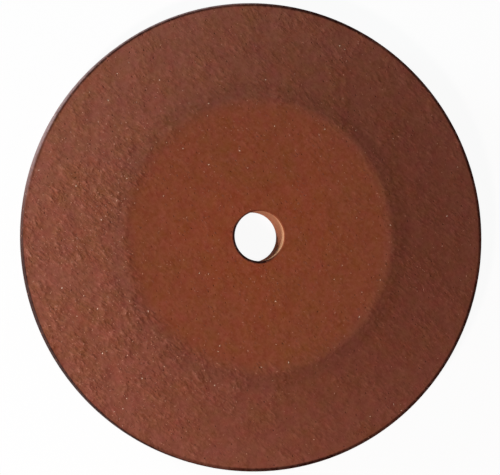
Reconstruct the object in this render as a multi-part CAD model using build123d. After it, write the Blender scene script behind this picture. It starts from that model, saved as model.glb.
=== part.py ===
from build123d import *

import os

# Grinding wheel tapered on one side: one moulded piece, lying on its flat back face.
# Lengths are in millimetres. The wheel's axis is Z and the middle of the back face is the origin.

# Overall sizes
wheel_diameter = 152.4
bore_diameter = 15.875
flat_diameter = 88.9  # flat land round the bore, where the clamping flange seats
hub_thickness = 12.7  # from the back face to the flat land
rim_thickness = 7.9375  # width of the straight edge that does the grinding

# Shoulder between the flat land and the taper: a step, a narrow land and a fainter step
inner_step_width = 1.4
inner_step_drop = 0.25
land_width = 1.2
land_drop = 0.15
outer_step_width = 1.1
outer_step_drop = 0.2

# Bevels at both ends of the bore, and rounded corners elsewhere
bore_bevel = 0.35
rim_edge_radius = 0.5
flat_edge_radius = 6
shoulder_radius = 5


def shoulder_corners():
    """Corners of the shoulder, each with its radius, from the flat land outwards."""
    radius = flat_diameter / 2
    height = hub_thickness
    corners = [(radius, height, flat_edge_radius)]
    runs = [
        (inner_step_width, inner_step_drop),
        (land_width, land_drop),
        (outer_step_width, outer_step_drop),
    ]
    for width, drop in runs:
        radius += width
        height -= drop
        corners.append((radius, height, shoulder_radius))
    return corners


def half_section():
    """Closed section of the wheel on one side of its axis, in the XZ plane."""
    bore = bore_diameter / 2
    rim = wheel_diameter / 2
    sharp = 0
    corners = [
        (bore, bore_bevel, sharp),
        (bore + bore_bevel, 0, sharp),
        (rim, 0, rim_edge_radius),
        (rim, rim_thickness, rim_edge_radius),
    ]
    corners += reversed(shoulder_corners())
    corners.append((bore + bore_bevel, hub_thickness, sharp))
    corners.append((bore, hub_thickness - bore_bevel, sharp))
    points = [(x, z) for x, z, radius in corners]
    radii = [radius for x, z, radius in corners]
    outline = FilletPolyline(*points, radius=radii, close=True)
    return Plane.XZ * make_face(outline)


def grinding_wheel():
    """The whole wheel, its section turned once round the bore's axis."""
    return revolve(half_section(), axis=Axis.Z)


os.makedirs("parts", exist_ok=True)
export_step(grinding_wheel(), "parts/grinding_wheel.step")
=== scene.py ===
import math

import bpy
from mathutils import Matrix, Vector


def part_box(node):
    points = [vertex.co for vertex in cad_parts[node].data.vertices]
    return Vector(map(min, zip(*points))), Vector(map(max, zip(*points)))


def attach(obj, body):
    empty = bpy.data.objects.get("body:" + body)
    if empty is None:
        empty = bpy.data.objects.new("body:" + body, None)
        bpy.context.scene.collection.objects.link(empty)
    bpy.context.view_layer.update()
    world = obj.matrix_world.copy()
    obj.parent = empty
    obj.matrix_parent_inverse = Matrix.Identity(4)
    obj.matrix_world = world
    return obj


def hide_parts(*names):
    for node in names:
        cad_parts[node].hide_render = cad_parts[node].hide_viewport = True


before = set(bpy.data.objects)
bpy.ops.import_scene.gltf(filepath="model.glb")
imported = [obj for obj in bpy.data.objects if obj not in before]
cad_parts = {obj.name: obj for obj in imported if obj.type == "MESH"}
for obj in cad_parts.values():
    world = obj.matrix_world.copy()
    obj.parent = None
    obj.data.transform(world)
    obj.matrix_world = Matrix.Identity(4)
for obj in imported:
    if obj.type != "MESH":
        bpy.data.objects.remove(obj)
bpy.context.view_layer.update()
scene = bpy.context.scene
mm = 0.001

wheelLow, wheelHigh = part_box("grinding_wheel")
rimRadius = (wheelHigh.x - wheelLow.x) / 2
hubHeight = wheelHigh.z
print("frame loaded:", round(2 * rimRadius / mm, 2), "by", round(hubHeight / mm, 2), "mm")


class Wire:
    # one output socket of a node, so that maths on sockets is written as plain expressions
    def __init__(self, tree, socket):
        self.tree = tree
        self.socket = socket

    def out(self, name):
        return Wire(self.tree, self.socket.node.outputs[name])

    def math(self, operation, *others):
        inputs = dict(enumerate([self, *others]))
        return node(self.tree, "ShaderNodeMath", {"operation": operation}, inputs)

    def __add__(self, other):
        return self.math("ADD", other)

    def __sub__(self, other):
        return self.math("SUBTRACT", other)

    def __rsub__(self, other):
        return (self * -1) + other

    def __mul__(self, other):
        return self.math("MULTIPLY", other)

    def __truediv__(self, other):
        return self.math("DIVIDE", other)

    def __rtruediv__(self, other):
        return self.math("POWER", -1) * other

    def __mod__(self, other):
        return self.math("MODULO", other)

    __radd__ = __add__


def node(tree, kind, settings=None, inputs=None):
    # adds one node: its settings first, then the values or links of its sockets
    made = tree.nodes.new(kind)
    for name, value in (settings or {}).items():
        setattr(made, name, value)
    for name, value in (inputs or {}).items():
        if isinstance(value, Wire):
            tree.links.new(value.socket, made.inputs[name])
        else:
            made.inputs[name].default_value = value
    return Wire(tree, made.outputs[0]) if made.outputs else made


def noise(place, size, detail=2.0, roughness=0.5):
    # cloudy noise whose patches are about this size
    inputs = {"Vector": place, "Scale": 1 / size, "Detail": detail, "Roughness": roughness}
    return node(place.tree, "ShaderNodeTexNoise", {}, inputs)


def cells(place, size):
    # packed cells of about this size: the distance from each middle, and a random Color for each
    return node(place.tree, "ShaderNodeTexVoronoi", {}, {"Vector": place, "Scale": 1 / size})


def cellNumber(cell, channel):
    # one of the random numbers that each cell has
    return node(cell.tree, "ShaderNodeSeparateColor", {}, {0: cell.out("Color")}).out(channel)


def ramp(value, low, high):
    # 0 below low, 1 above high, smooth between
    settings = {"interpolation_type": "SMOOTHSTEP"}
    inputs = {"Value": value, "From Min": low, "From Max": high}
    return node(value.tree, "ShaderNodeMapRange", settings, inputs)


def blend(factor, first, second):
    # colour mix
    inputs = {0: factor, 6: first, 7: second}
    return node(factor.tree, "ShaderNodeMix", {"data_type": "RGBA"}, inputs).out(2)


def scaled(tree, vector, amount):
    # a vector or colour times a number
    inputs = {0: vector, "Scale": amount}
    return node(tree, "ShaderNodeVectorMath", {"operation": "SCALE"}, inputs)


def tint(colour, addition, amount):
    # adds this much of a second colour
    inputs = {0: colour, 1: scaled(colour.tree, addition, amount)}
    return node(colour.tree, "ShaderNodeVectorMath", {"operation": "ADD"}, inputs)


def nearPoint(place, middle, reach):
    # 1 round a point, fading to 0 between the two distances
    settings = {"operation": "DISTANCE"}
    away = node(place.tree, "ShaderNodeVectorMath", settings, {0: place, 1: middle})
    return 1 - ramp(away.out("Value"), *reach)


def newMaterial(name):
    material = bpy.data.materials.new(name)
    material.use_nodes = True
    tree = material.node_tree
    return material, tree, tree.nodes["Principled BSDF"]


def plug(wire, shader, name):
    wire.tree.links.new(wire.socket, shader.inputs[name])


# The body lies a skin's depth inside the true size, and the crystals fill that skin
wheel = {
    "boreRadius": 7.9375 * mm,
    "boreBevel": 0.35 * mm,
    "flatRadius": 44.45 * mm,
    "flatRound": 9 * mm,
    # width and drop of each run of the shoulder, outwards
    "shoulder": ((1.4 * mm, 0.25 * mm), (1.2 * mm, 0.15 * mm), (1.1 * mm, 0.2 * mm)),
    "shoulderRound": 5 * mm,
    "rimWidth": 7.9375 * mm,
    "rimRound": 0.5 * mm,
    "skin": 0.12 * mm,
    "pitch": 1.3 * mm,  # longest step along the section
    "cornerPitch": 0.12 * mm,
    "stepsRound": 620,
    "weld": 0.001 * mm,
    "relief": 0.05 * mm,
    "reliefSize": 4.0 * mm,
    "leastReliefSize": 0.01 * mm,
    "seed": 3,
    "clearEdge": 1.1 * mm,  # no crystal lies this near to the rim's corners or the bore
}


def sectionCorners(size):
    # corners of the half section with their radii, from the bore's lower end round to its upper end
    skin = size["skin"]
    bore = size["boreRadius"] + skin
    rim = rimRadius - skin
    top = hubHeight - skin
    bevel = size["boreBevel"]
    radius = size["flatRadius"]
    height = top
    shoulder = [(radius, height, size["flatRound"])]
    for width, drop in size["shoulder"]:
        radius += width
        height -= drop
        shoulder.append((radius, height, size["shoulderRound"]))
    corners = [
        (bore, skin + bevel, 0),
        (bore + bevel, skin, 0),
        (rim, skin, size["rimRound"]),
        (rim, size["rimWidth"] - skin, size["rimRound"]),
    ]
    corners += reversed(shoulder)
    corners += [(bore + bevel, top, 0), (bore, top - bevel, 0)]
    return corners


def roundCorner(before, corner, after, radius, arcSteps=5):
    # points of the arc that replaces a corner, or the corner itself
    if radius == 0:
        return [corner]
    inward = (before - corner).normalized()
    outward = (after - corner).normalized()
    half = inward.angle(outward) / 2
    reach = radius / math.tan(half)
    middle = corner + (inward + outward).normalized() * (radius / math.sin(half))
    start = corner + inward * reach - middle
    turn = start.angle_signed(corner + outward * reach - middle)
    steps = max(2, round(arcSteps * abs(turn) / (math.pi / 2)))
    return [middle + Matrix.Rotation(-turn * i / steps, 2) @ start for i in range(steps + 1)]


def divide(start, end, pitch, cornerPitch):
    # points between two corners, with a support point close to each
    length = (end - start).length
    if length < 4 * cornerPitch:
        return []
    steps = math.ceil((length - 2 * cornerPitch) / pitch)
    middle = [cornerPitch + (length - 2 * cornerPitch) * i / steps for i in range(steps + 1)]
    return [start.lerp(end, along / length) for along in middle]


def sectionLoop(size):
    # the whole closed section as points
    corners = sectionCorners(size)
    places = [Vector(corner[:2]) for corner in corners]
    arcs = []
    for i, corner in enumerate(places):
        after = places[(i + 1) % len(places)]
        arcs.append(roundCorner(places[i - 1], corner, after, corners[i][2]))
    loop = []
    for i, arc in enumerate(arcs):
        following = arcs[(i + 1) % len(arcs)][0]
        loop += arc
        loop += divide(arc[-1], following, size["pitch"], size["cornerPitch"])
    return loop


def sectionMesh(size):
    loop = sectionLoop(size)
    points = [(p.x, 0, p.y) for p in loop]
    edges = [(i, (i + 1) % len(loop)) for i in range(len(loop))]
    mesh = bpy.data.meshes.new("section")
    mesh.from_pydata(points, edges, [])
    return mesh


def newTree(name, sockets):
    # geometry node tree with one geometry input, the named inputs and one geometry output
    tree = bpy.data.node_groups.new(name, "GeometryNodeTree")
    tree.interface.new_socket("Geometry", in_out="INPUT", socket_type="NodeSocketGeometry")
    for label, kind in sockets.items():
        tree.interface.new_socket(label, in_out="INPUT", socket_type="NodeSocket" + kind)
    tree.interface.new_socket("Geometry", in_out="OUTPUT", socket_type="NodeSocketGeometry")
    return tree, node(tree, "NodeGroupInput")


def endTree(geometry, given):
    # real meshes with their material, ready to export
    tree = geometry.tree
    real = node(tree, "GeometryNodeRealizeInstances", {}, {"Geometry": geometry})
    inputs = {"Geometry": real, "Material": given.out("Material")}
    done = node(tree, "GeometryNodeSetMaterial", {}, inputs)
    node(tree, "NodeGroupOutput", {}, {"Geometry": done})


def grow(name, mesh, tree, values):
    # runs a tree on a mesh and keeps what it makes as a plain mesh
    piece = bpy.data.objects.new(name, mesh)
    scene.collection.objects.link(piece)
    modifier = piece.modifiers.new("grow", "NODES")
    modifier.node_group = tree
    for item in tree.interface.items_tree:
        if item.in_out == "INPUT" and item.name in values:
            modifier[item.identifier] = values[item.name]
    evaluated = piece.evaluated_get(bpy.context.evaluated_depsgraph_get())
    plain = bpy.data.meshes.new_from_object(evaluated)
    piece.modifiers.remove(modifier)
    piece.data = plain
    piece.data.name = name
    print(name, "has", len(plain.polygons), "faces")
    return piece


def turnTree():
    # turns a closed section once round Z, then gives its surface a low uneven relief
    sockets = {
        "Steps Round": "Int",
        "Relief": "Float",
        "Relief Size": "Float",
        "Seed": "Int",
        "Material": "Material",
    }
    tree, given = newTree("turnedWheel", sockets)
    section = given.out("Geometry")
    around = given.out("Steps Round")
    counted = {"component": "MESH"}
    count = node(tree, "GeometryNodeAttributeDomainSize", counted, {"Geometry": section})
    along = count.out("Point Count")
    inputs = {"Size X": 1, "Size Y": 1, "Vertices X": along + 1, "Vertices Y": around + 1}
    grid = node(tree, "GeometryNodeMeshGrid", {}, inputs).out("Mesh")
    index = node(tree, "GeometryNodeInputIndex")
    row = (index / (around + 1)).math("FLOOR") % along
    # clockwise, so that the faces look outwards
    angle = (index % (around + 1)) / around * -math.tau
    sample = {"data_type": "FLOAT_VECTOR", "domain": "POINT"}
    here = node(tree, "GeometryNodeInputPosition")
    inputs = {"Geometry": section, "Value": here, "Index": row}
    point = node(tree, "GeometryNodeSampleIndex", sample, inputs)
    parts = node(tree, "ShaderNodeSeparateXYZ", {}, {0: point})
    radius = parts.out("X")
    x, y = radius * angle.math("COSINE"), radius * angle.math("SINE")
    place = node(tree, "ShaderNodeCombineXYZ", {}, {"X": x, "Y": y, "Z": parts.out("Z")})
    shape = node(tree, "GeometryNodeSetPosition", {}, {"Geometry": grid, "Position": place})
    welded = {"Geometry": shape, "Distance": wheel["weld"]}
    shape = node(tree, "GeometryNodeMergeByDistance", {}, welded)
    # the relief only sinks below the section
    scale = 1 / given.out("Relief Size").math("MAXIMUM", wheel["leastReliefSize"])
    waves = {"W": given.out("Seed") * 1.0, "Scale": scale, "Detail": 3.0}
    waves = node(tree, "ShaderNodeTexNoise", {"noise_dimensions": "4D"}, waves)
    depth = (waves - 1) * given.out("Relief")
    move = scaled(tree, node(tree, "GeometryNodeInputNormal"), depth)
    shape = node(tree, "GeometryNodeSetPosition", {}, {"Geometry": shape, "Offset": move})
    shape = node(tree, "GeometryNodeSetShadeSmooth", {}, {"Geometry": shape, "Shade Smooth": True})
    endTree(shape, given)
    return tree


# Densities are per square millimetre, and sizes are half a crystal's length, width and height
grains = {
    "brown": {
        "taperDensity": 0.4,
        "flatDensity": 0.06,
        "calm": 0.25,
        "least": Vector((0.4, 0.14, 0.06)) * mm,
        "most": Vector((0.9, 0.22, 0.09)) * mm,
        "tilt": 0.06,
        "spin": 0.45,
        "sunk": 0.2,
        "seed": 11,
        "dark": (0.11, 0.028, 0.014, 1),
        "light": (0.23, 0.066, 0.034, 1),
        "roughness": 0.6,
        "gloss": 0.15,
    },
    "tan": {
        "taperDensity": 0.2,
        "flatDensity": 0.048,
        "calm": 0.12,
        "least": Vector((0.22, 0.14, 0.1)) * mm,
        "most": Vector((0.48, 0.2, 0.14)) * mm,
        "tilt": 0.2,
        "spin": 1.2,
        "sunk": 0.4,
        "seed": 47,
        "dark": (0.23, 0.07, 0.038, 1),
        "light": (0.42, 0.19, 0.115, 1),
        "roughness": 0.45,
        "gloss": 0.3,
    },
    "pale": {
        "taperDensity": 0.0048,
        "flatDensity": 0.0055,
        "calm": 0.4,
        "least": Vector((0.25, 0.22, 0.13)) * mm,
        "most": Vector((0.42, 0.33, 0.2)) * mm,
        "tilt": 0.3,
        "spin": math.pi,
        "sunk": 0.5,
        "seed": 29,
        "dark": (0.55, 0.33, 0.22, 1),
        "light": (0.85, 0.68, 0.52, 1),
        "roughness": 0.35,
        "gloss": 0.5,
    },
}


def grainTree():
    # small hard crystals part sunk in the surface, none of them on the bore's wall
    sockets = {
        "Taper Density": "Float",
        "Flat Density": "Float",
        "Calm": "Float",
        "Coarse Middle": "Vector",
        "Coarse Near": "Float",
        "Coarse Far": "Float",
        "Least": "Vector",
        "Most": "Vector",
        "Tilt": "Float",
        "Spin": "Float",
        "Along": "Float",
        "Sunk": "Float",
        "Bore Radius": "Float",
        "Flat Radius": "Float",
        "Rim Radius": "Float",
        "Rim Width": "Float",
        "Margin": "Float",
        "Seed": "Int",
        "Material": "Material",
    }
    tree, given = newTree("scatteredGrains", sockets)
    seed = given.out("Seed")
    here = node(tree, "GeometryNodeInputPosition")
    parts = node(tree, "ShaderNodeSeparateXYZ", {}, {0: here})
    x, y, z = parts.out("X"), parts.out("Y"), parts.out("Z")
    radius = (x * x + y * y).math("SQRT")
    margin, width = given.out("Margin"), given.out("Rim Width")
    outer = radius.math("GREATER_THAN", given.out("Flat Radius"))
    onTaper = z.math("GREATER_THAN", width) * outer
    # the rim's two corners and the bore are left clear, so that no crystal stands out there
    middle = z.math("GREATER_THAN", margin) * z.math("LESS_THAN", width - margin)
    inside = radius.math("LESS_THAN", given.out("Rim Radius") - margin)
    outside = radius.math("GREATER_THAN", given.out("Bore Radius") + margin)
    clear = outside * middle.math("MAXIMUM", inside)
    reach = (given.out("Coarse Near"), given.out("Coarse Far"))
    coarse = nearPoint(here, given.out("Coarse Middle"), reach)
    flat, calm = given.out("Flat Density"), given.out("Calm")
    taper = given.out("Taper Density") * (calm + coarse * (1 - calm))
    density = flat + (taper - flat) * onTaper
    spread = {"Mesh": given.out("Geometry"), "Density": density, "Seed": seed, "Selection": clear}
    method = {"distribute_method": "RANDOM"}
    points = node(tree, "GeometryNodeDistributePointsOnFaces", method, spread)
    # each crystal lies along the brushing, give or take a random lean
    vector = {"data_type": "FLOAT_VECTOR"}
    sizes = {0: given.out("Least"), 1: given.out("Most"), "Seed": seed}
    half = node(tree, "FunctionNodeRandomValue", vector, sizes)
    tilt = given.out("Tilt")
    lean = node(tree, "ShaderNodeCombineXYZ", {}, {0: tilt, 1: tilt, 2: given.out("Spin")})
    leans = {0: scaled(tree, lean, -1), 1: lean, "Seed": seed + 1}
    lean = node(tree, "FunctionNodeRandomValue", vector, leans)
    along = given.out("Along")
    lengthwise = {0: along.math("COSINE"), 1: along.math("SINE")}
    lengthwise = node(tree, "ShaderNodeCombineXYZ", {}, lengthwise)
    aligned = {"Rotation": points.out("Rotation"), "Vector": lengthwise}
    axes = {"axis": "X", "pivot_axis": "Z"}
    aligned = node(tree, "FunctionNodeAlignRotationToVector", axes, aligned)
    turned = {"Rotation": aligned, "Rotate By": lean}
    turned = node(tree, "FunctionNodeRotateRotation", {"rotation_space": "LOCAL"}, turned)
    height = node(tree, "ShaderNodeSeparateXYZ", {}, {0: half}).out("Z")
    sink = scaled(tree, points.out("Normal"), height * given.out("Sunk") * -1)
    seats = node(tree, "GeometryNodeSetPosition", {}, {"Geometry": points, "Offset": sink})
    crystal = {"Segments": 4, "Rings": 2, "Radius": 1}
    crystal = node(tree, "GeometryNodeMeshUVSphere", {}, crystal)
    crystal = {"Geometry": crystal, "Shade Smooth": False}
    crystal = node(tree, "GeometryNodeSetShadeSmooth", {}, crystal)
    placed = {"Points": seats, "Instance": crystal, "Rotation": turned, "Scale": half}
    crystals = node(tree, "GeometryNodeInstanceOnPoints", {}, placed)
    tone = {2: 0.0, 3: 1.0, "Seed": seed + 2}
    tone = node(tree, "FunctionNodeRandomValue", {"data_type": "FLOAT"}, tone).out(1)
    stored = {"Geometry": crystals, "Name": "tone", "Value": tone}
    each = {"data_type": "FLOAT", "domain": "INSTANCE"}
    crystals = node(tree, "GeometryNodeStoreNamedAttribute", each, stored)
    endTree(crystals, given)
    return tree


finish = {
    # face
    "flat": (0.195, 0.0485, 0.0206, 1),
    "centre": (0.208, 0.0478, 0.0183, 1),  # the flat land nearer the bore
    "centreReach": (14 * mm, 40 * mm),
    "taper": (0.1706, 0.0505, 0.0285, 1),
    "taperOuter": (0.18, 0.0555, 0.0325, 1),  # nearer the rim
    "taperReach": (52 * mm, 74 * mm),
    "taperStart": (5 * mm, 1.5 * mm),  # inside and outside the flat land's edge
    "taperWander": 4 * mm,
    "taperWanderSize": 5 * mm,
    "frontHeight": (4 * mm, 5 * mm),  # the back's finish ends and the front's starts here
    "olive": (0.167, 0.053, 0.019, 1),
    "oliveSize": 14 * mm,
    "oliveRange": (0.4, 0.7),
    "oliveShare": 0.35,
    "pink": (0.222, 0.05, 0.028, 1),
    "pinkSize": 5 * mm,
    "pinkRange": (0.45, 0.75),
    "pinkShare": 0.3,
    "mottle": Vector((-0.02, 0.0165, -0.008)),  # from violet towards olive
    "mottleSize": 4 * mm,
    "band": (45 * mm, 48.5 * mm),  # a darker ring round the flat land, painted shade along the shoulder
    "bandEdge": 1.2 * mm,
    "bandWander": 3 * mm,
    "bandWanderSize": 9 * mm,
    "bandTone": 0.1,
    # walls of the bore and the rim
    "wallDepth": (0.12 * mm, 0.3 * mm),
    # painted light: the bore's wall is painted pale, standing in for light across its whole depth
    # and its grazing sheen
    "bore": (0.44, 0.195, 0.1, 1),
    "boreDeep": (0.4, 0.16, 0.085, 1),  # towards the back
    "boreFade": (2 * mm, 11 * mm),
    "boreStreak": 9 * mm,
    "boreStreakSize": 2 * mm,
    # painted shade: the rim's wall is painted dark
    "rim": (0.085, 0.03, 0.022, 1),
    "rimEven": 0.7,  # how much evener the dark rim is than the face
    # painted shade along the sharp edges
    "edge": (0.022, 0.006, 0.004, 1),
    "edgeShare": 0.95,
    "edgeCore": 0.6,  # how much of an edge line's width is at full strength
    "rimEdgeWidth": 1.5 * mm,
    "boreEdgeWidth": 0.75 * mm,
    "edgePatch": 20 * mm,
    "edgeRange": (0.3, 0.6),
    "edgeLeast": 0.7,
    "litRimEdgeMiddle": Vector((-73, -20, 4)) * mm,  # where the rim's edges face the light and get the least painted shade
    "litRimEdgeReach": (30 * mm, 90 * mm),
    "litBoreEdgeMiddle": Vector((9, 3, 12)) * mm,  # where the bore's edge faces the light and gets the least painted shade
    "litBoreEdgeReach": (6 * mm, 14 * mm),
    "litEdgeShare": 0.9,
    # painted shade on the bore's front edge at its lower left
    "boreShadeMiddle": Vector((-7, -4, 12)) * mm,
    "boreShadeReach": (8 * mm, 12 * mm),
    "boreShadeWidth": 1.2 * mm,
    # grain, in tones of one colour
    "speckle": Vector((0.19, 0.083, 0.061)),
    "grainSize": 0.75 * mm,
    "grainTone": 0.12,
    "cloudSize": 1.5 * mm,
    "cloudTone": 0.28,
    "shadeSize": 4.5 * mm,
    "shadeTone": 0.1,
    "crest": (0.52, 0.75),  # the tops of the lumps are paler
    "crestMean": 0.15,
    "crestTone": 0.3,
    # pores, with painted shade in them
    "poreShade": (0.06, 0.015, 0.009, 1),
    "poreSize": 1.6 * mm,
    "poreEdge": (0.05, 0.19),  # in shares of that size
    "poreChoice": (0.25, 1),  # a share of the cells has no pore, or a faint one
    "poreTone": 0.45,
    "poreOnFlat": 0.6,
    "poreDepth": 0.5,
    # lumps and gloss
    "lumpSize": 1.25 * mm,
    "lumpAlong": math.radians(132),  # the lumps are longer this way
    "lumpStretch": 1.8,
    "fineSize": 0.65 * mm,
    "fineShare": 0.2,
    "bumpDepth": 0.4 * mm,
    "coarseMiddle": Vector((-64, -6, 8)) * mm,  # where the taper is roughest
    "coarseReach": (25 * mm, 82 * mm),
    "calm": 0.46,  # how much of that depth is left on the taper far from there
    "flatShare": 0.28,  # and on the ground faces
    "patchSize": 7 * mm,
    "patchRange": (0.3, 0.7),
    "patchShare": (0.4, 1.6),
    "roughness": 0.8,
    "roughnessSpread": 0.2,
    "dullEdge": 0.2,  # how much rougher the rim and the edges are
    "gloss": 0.08,
}

# Painted light and painted shade on the rim's wall and a little of the face, in this order
coverings = {
    # painted shade on the rim's lower left side
    "paintedShade": {
        "colour": (0.024, 0.007, 0.005, 1),
        "middle": Vector((-66, -38, 0)) * mm,
        "reach": (36 * mm, 80 * mm),
        "onFace": 0.45 * mm,
        "soft": 0.2 * mm,
        "patchSize": 2.5 * mm,
        "patchRange": (0.3, 0.5),
        "least": 0.7,
    },
    # painted light: a pale patch on the rim's upper left side
    "paintedLight": {
        "colour": (0.2, 0.115, 0.108, 1),
        "middle": Vector((-35, 68, 0)) * mm,
        "reach": (36 * mm, 64 * mm),
        "onFace": 0.6 * mm,
        "soft": 0.2 * mm,
        "patchSize": 2.5 * mm,
        "patchRange": (0.35, 0.6),
        "least": 0.55,
    },
}


def patchy(cloud, span, least):
    # 1 in the patches of a noise and no less than this between them
    return ramp(cloud, *span) * (1 - least) + least


def wheelPlaces(place):
    # height and radius of a point, and masks that are 1 on one part of the wheel
    parts = node(place.tree, "ShaderNodeSeparateXYZ", {}, {0: place})
    x, y, z = parts.out("X"), parts.out("Y"), parts.out("Z")
    radius = (x * x + y * y).math("SQRT")
    thin, thick = finish["wallDepth"]
    bore = wheel["boreRadius"]
    rimWall = ramp(radius, rimRadius - thick, rimRadius - thin)
    wander = (noise(place, finish["taperWanderSize"], detail=3.0) - 0.5) * finish["taperWander"]
    inside, outside = finish["taperStart"]
    taper = ramp(radius + wander, wheel["flatRadius"] - inside, wheel["flatRadius"] + outside)
    front = ramp(z, *finish["frontHeight"])
    return {
        "place": place,
        "radius": radius,
        "z": z,
        "front": front,
        "boreWall": 1 - ramp(radius, bore + thin, bore + thick),
        "rimWall": rimWall,
        "taper": taper * front * (1 - rimWall),
    }


def nearEdge(at, edgeRadius, edgeHeight, width):
    # 1 on a round edge of the wheel, fading to 0 within its width
    across = at["radius"] - edgeRadius
    along = at["z"] - edgeHeight
    away = (across * across + along * along).math("SQRT")
    return 1 - ramp(away, width * finish["edgeCore"], width)


def sharpEdges(at):
    # 1 on both edges of the rim and on the bore's front edge
    rimFront = nearEdge(at, rimRadius, wheel["rimWidth"], finish["rimEdgeWidth"])
    rimBack = nearEdge(at, rimRadius, 0, finish["rimEdgeWidth"])
    boreFront = nearEdge(at, wheel["boreRadius"], hubHeight, finish["boreEdgeWidth"])
    return rimFront.math("MAXIMUM", rimBack).math("MAXIMUM", boreFront)


def plainColour(at):
    # flat land and back are ground, the taper is as moulded, the bore's wall is painted pale as
    # painted light and the rim's wall dark as painted shade
    place = at["place"]
    centre = nearPoint(place, Vector((0, 0, hubHeight)), finish["centreReach"])
    flat = blend(centre, finish["flat"], finish["centre"])
    outwards = ramp(at["radius"], *finish["taperReach"])
    taper = blend(outwards, finish["taper"], finish["taperOuter"])
    colour = blend(at["taper"], flat, taper)
    olive = ramp(noise(place, finish["oliveSize"], detail=3.0), *finish["oliveRange"])
    colour = blend(olive * finish["oliveShare"], colour, finish["olive"])
    pink = ramp(noise(place, finish["pinkSize"], detail=4.0), *finish["pinkRange"])
    colour = blend(pink * finish["pinkShare"], colour, finish["pink"])
    colour = tint(colour, finish["mottle"], noise(place, finish["mottleSize"], detail=3.0) - 0.5)
    # painted light on the bore's wall, a little darker towards the back
    streaks = (noise(place, finish["boreStreakSize"], detail=3.0) - 0.5) * finish["boreStreak"]
    fade = ramp(at["z"] + streaks, *finish["boreFade"])
    colour = blend(at["boreWall"], colour, blend(fade, finish["boreDeep"], finish["bore"]))
    # painted shade: the rim's wall is painted dark
    return blend(at["rimWall"], colour, finish["rim"])


def paintShoulderShade(at, colour):
    # painted shade: a darker ring along the shoulder just outside the flat land
    low, high = finish["band"]
    soft = finish["bandEdge"]
    wander = (noise(at["place"], finish["bandWanderSize"]) - 0.5) * finish["bandWander"]
    radius = at["radius"] + wander
    band = ramp(radius, low - soft, low) * (1 - ramp(radius, high, high + 2 * soft))
    return tint(colour, colour, band * at["front"] * -finish["bandTone"])


def paintEdgeShade(at, colour, edges):
    # painted shade along the sharp edges, uneven and left off where they face the light
    place = at["place"]
    patches = noise(place, finish["edgePatch"])
    uneven = patchy(patches, finish["edgeRange"], finish["edgeLeast"])
    rimEdgeLit = nearPoint(place, finish["litRimEdgeMiddle"], finish["litRimEdgeReach"])
    boreEdgeLit = nearPoint(place, finish["litBoreEdgeMiddle"], finish["litBoreEdgeReach"])
    edgeLit = rimEdgeLit.math("MAXIMUM", boreEdgeLit) * finish["litEdgeShare"]
    colour = blend(edges * uneven * (1 - edgeLit) * finish["edgeShare"], colour, finish["edge"])
    # painted shade on the bore's front edge at its lower left, in the colour of the rim's painted
    # shade
    boreShade = nearPoint(place, finish["boreShadeMiddle"], finish["boreShadeReach"])
    boreShade = boreShade * nearEdge(at, wheel["boreRadius"], hubHeight, finish["boreShadeWidth"])
    return blend(boreShade, colour, coverings["paintedShade"]["colour"])


def paintRimLightAndShade(at, colour):
    # painted light and shade: the rim is painted pale on its upper left side, as if lit there, and
    # painted dark with shade beside that
    for cover in coverings.values():
        patches = noise(at["place"], cover["patchSize"], detail=4.0, roughness=0.7)
        share = nearPoint(at["place"], cover["middle"], cover["reach"])
        share = share * patchy(patches, cover["patchRange"], cover["least"])
        start = rimRadius - cover["onFace"]
        share = share * ramp(at["radius"], start - cover["soft"], start + cover["soft"])
        colour = blend(share, colour, cover["colour"])
    return colour


def addGrain(at, colour, lumps, rough, cloud):
    crests = (ramp(lumps, *finish["crest"]) - finish["crestMean"]) * rough * finish["crestTone"]
    tone = cellNumber(cells(at["place"], finish["grainSize"]), "Red")
    speckles = (tone - 0.5) * finish["grainTone"] + (cloud - 0.5) * finish["cloudTone"]
    shade = (noise(at["place"], finish["shadeSize"], roughness=0.4) - 0.5) * finish["shadeTone"]
    even = 1 - at["rimWall"] * finish["rimEven"]
    return tint(colour, finish["speckle"], (crests + speckles + shade) * even)


def longLumps(place):
    # noise drawn out one way, as the brushed surface is
    scale = (finish["lumpStretch"], 1, 1)
    stretch = {"Vector": place, "Rotation": (0, 0, finish["lumpAlong"]), "Scale": scale}
    stretched = node(place.tree, "ShaderNodeMapping", {"vector_type": "TEXTURE"}, stretch)
    return noise(stretched, finish["lumpSize"])


def lumpDepth(at):
    # how deep the lumps are in each place
    coarse = nearPoint(at["place"], finish["coarseMiddle"], finish["coarseReach"])
    onTaper = finish["calm"] + coarse * (1 - finish["calm"])
    depth = finish["flatShare"] + at["taper"] * (onTaper - finish["flatShare"])
    low, high = finish["patchShare"]
    patches = ramp(noise(at["place"], finish["patchSize"]), *finish["patchRange"])
    return depth * (low + patches * (high - low))


def poreMask(place):
    # small round pits, one in the middle of a cell
    hole = cells(place, finish["poreSize"])
    chosen = ramp(cellNumber(hole, "Green"), *finish["poreChoice"])
    return (1 - ramp(hole, *finish["poreEdge"])) * chosen


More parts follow.
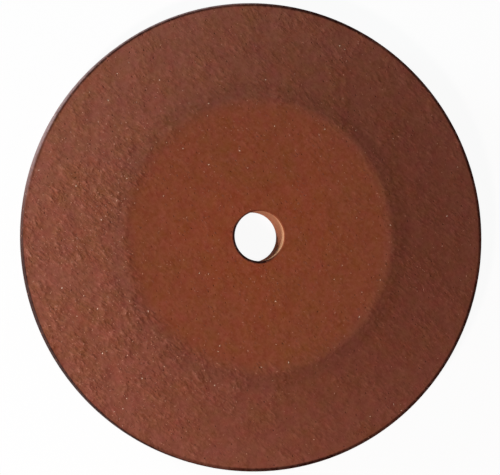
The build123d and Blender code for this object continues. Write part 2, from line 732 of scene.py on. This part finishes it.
def bondedAbrasive():
    material, tree, shader = newMaterial("bondedAbrasive")
    place = node(tree, "ShaderNodeTexCoord").out("Object")
    at = wheelPlaces(place)
    edges = sharpEdges(at)
    lumps = longLumps(place)
    rough = lumpDepth(at)
    cloud = noise(place, finish["cloudSize"], detail=3.0)
    pores = poreMask(place)
    colour = paintShoulderShade(at, plainColour(at))
    colour = paintRimLightAndShade(at, paintEdgeShade(at, colour, edges))
    colour = addGrain(at, colour, lumps, rough, cloud)
    onFlat = finish["poreOnFlat"]
    # painted shade in the pits, stronger on the taper
    dark = pores * (onFlat + at["taper"] * (1 - onFlat)) * finish["poreTone"]
    plug(blend(dark, colour, finish["poreShade"]), shader, "Base Color")
    spread = finish["roughnessSpread"]
    dull = at["rimWall"].math("MAXIMUM", edges) * finish["dullEdge"]
    plug(finish["roughness"] - spread / 2 + cloud * spread + dull, shader, "Roughness")
    fine = noise(place, finish["fineSize"])
    height = (lumps + fine * finish["fineShare"]) * rough - pores * finish["poreDepth"]
    bump = {"Strength": 1.0, "Distance": finish["bumpDepth"], "Height": height}
    plug(node(tree, "ShaderNodeBump", {}, bump), shader, "Normal")
    shader.inputs["Specular IOR Level"].default_value = finish["gloss"]
    return material


def grainMaterial(name, size):
    # every crystal has one tone of its own
    material, tree, shader = newMaterial(name)
    tone = node(tree, "ShaderNodeAttribute", {"attribute_name": "tone"}).out("Fac")
    plug(blend(tone, size["dark"], size["light"]), shader, "Base Color")
    shader.inputs["Roughness"].default_value = size["roughness"]
    shader.inputs["Specular IOR Level"].default_value = size["gloss"]
    return material


abrasive = bondedAbrasive()
body = grow(
    "wheel_body",
    sectionMesh(wheel),
    turnTree(),
    {
        "Steps Round": wheel["stepsRound"],
        "Relief": wheel["relief"],
        "Relief Size": wheel["reliefSize"],
        "Seed": wheel["seed"],
        "Material": abrasive,
    },
)
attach(body, "root")
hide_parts("grinding_wheel")

scatter = grainTree()
for kind, size in grains.items():
    crystals = grow(
        kind + "_grains",
        body.data.copy(),
        scatter,
        {
            "Taper Density": size["taperDensity"] / mm**2,
            "Flat Density": size["flatDensity"] / mm**2,
            "Calm": size["calm"],
            "Coarse Middle": finish["coarseMiddle"],
            "Coarse Near": finish["coarseReach"][0],
            "Coarse Far": finish["coarseReach"][1],
            "Least": size["least"],
            "Most": size["most"],
            "Tilt": size["tilt"],
            "Spin": size["spin"],
            "Along": finish["lumpAlong"],
            "Sunk": size["sunk"],
            "Bore Radius": wheel["boreRadius"],
            "Flat Radius": wheel["flatRadius"],
            "Rim Radius": rimRadius,
            "Rim Width": wheel["rimWidth"],
            "Margin": wheel["clearEdge"],
            "Seed": size["seed"],
            "Material": grainMaterial(kind + "Grain", size),
        },
    )
    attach(crystals, "root")

camera = {
    "aim": Vector((-3.05, 0.06, 12.06)) * mm,
    "distance": 806.1 * mm,
    "tilt": math.radians(11.8),  # line of sight off the wheel's axis
    "lean": math.radians(10),  # how far above image right the wheel's axis points
    "lens": 180,
    "sensor": 36,
}


def makeCamera(view):
    # sets up the camera, and tells which way image right is, because the lights go by that
    towards = Vector((-math.sin(view["tilt"]), 0, math.cos(view["tilt"])))
    axis = (Vector((0, 0, 1)) - towards * math.cos(view["tilt"])).normalized()
    right = axis * math.cos(view["lean"]) - towards.cross(axis) * math.sin(view["lean"])
    up = towards.cross(right)
    data = bpy.data.cameras.new("camera")
    data.lens = view["lens"]
    data.sensor_width = view["sensor"]
    eye = bpy.data.objects.new("camera", data)
    eye.matrix_world = Matrix((right, up, towards)).transposed().to_4x4()
    eye.location = view["aim"] + towards * view["distance"]
    scene.collection.objects.link(eye)
    scene.camera = eye
    return right


imageRight = makeCamera(camera)
print("camera", round(camera["distance"] / mm), "mm away")

# Azimuths run anticlockwise from image right, and heights are degrees above the wheel's face
lights = {
    "key": {
        "azimuth": 225,
        "height": 40,
        "distance": 0.8,
        "size": 0.12,
        "power": 6.4,
        "colour": (1, 0.83, 0.81),
    },
    "side": {
        "azimuth": 155,
        "height": 9,
        "distance": 1.2,
        "size": 0.34,
        "power": 25.5,
        "colour": (0.68, 0.92, 1),
    },
}


def makeLight(name, light):
    azimuth = math.radians(light["azimuth"])
    height = math.radians(light["height"])
    flatRight = Vector((imageRight.x, imageRight.y, 0)).normalized()
    flatUp = Vector((0, 0, 1)).cross(flatRight)
    level = flatRight * math.cos(azimuth) + flatUp * math.sin(azimuth)
    towards = level * math.cos(height) + Vector((0, 0, 1)) * math.sin(height)
    data = bpy.data.lights.new(name, "AREA")
    data.shape = "DISK"
    data.size = light["size"]
    data.energy = light["power"]
    data.color = light["colour"]
    lamp = bpy.data.objects.new(name, data)
    lamp.location = Vector((0, 0, hubHeight)) + towards * light["distance"]
    lamp.rotation_euler = towards.to_track_quat("Z", "Y").to_euler()
    scene.collection.objects.link(lamp)


for name, light in lights.items():
    makeLight(name, light)

stage = {"size": 6.0, "floor": (0.8, 0.8, 0.8, 1), "fill": 0.13, "white": 0.94}


def seenRays(tree):
    # 1 for what the camera, a reflection or clear glass sees, 0 for what lights the object
    path = node(tree, "ShaderNodeLightPath")
    seen = path.out("Is Camera Ray").math("MAXIMUM", path.out("Is Glossy Ray"))
    return seen.math("MAXIMUM", path.out("Is Transmission Ray"))


def makeFloor():
    half = stage["size"] / 2
    mesh = bpy.data.meshes.new("floor")
    corners = [(-half, -half, 0), (half, -half, 0), (half, half, 0), (-half, half, 0)]
    mesh.from_pydata(corners, [], [(0, 1, 2, 3)])
    floor = bpy.data.objects.new("floor", mesh)
    scene.collection.objects.link(floor)
    material, tree, shader = newMaterial("paleFloor")
    shader.inputs["Base Color"].default_value = stage["floor"]
    shader.inputs["Roughness"].default_value = 1.0
    shader.inputs["Specular IOR Level"].default_value = 0.0
    glow = node(tree, "ShaderNodeEmission", {}, {"Color": (1, 1, 1, 1), "Strength": 1.0})
    plain = Wire(tree, shader.outputs[0])
    seen = seenRays(tree) * stage["white"]
    mixed = node(tree, "ShaderNodeMixShader", {}, {0: seen, 1: plain, 2: glow})
    tree.links.new(mixed.socket, tree.nodes["Material Output"].inputs["Surface"])
    mesh.materials.append(material)


def makeWorld():
    world = bpy.data.worlds.new("studio")
    world.use_nodes = True
    tree = world.node_tree
    strength = seenRays(tree) * (1 - stage["fill"]) + stage["fill"]
    tree.links.new(strength.socket, tree.nodes["Background"].inputs["Strength"])
    tree.nodes["Background"].inputs["Color"].default_value = (1, 1, 1, 1)
    scene.world = world


makeFloor()
makeWorld()
scene.view_settings.view_transform = "Standard"
print("stage and lights ready")
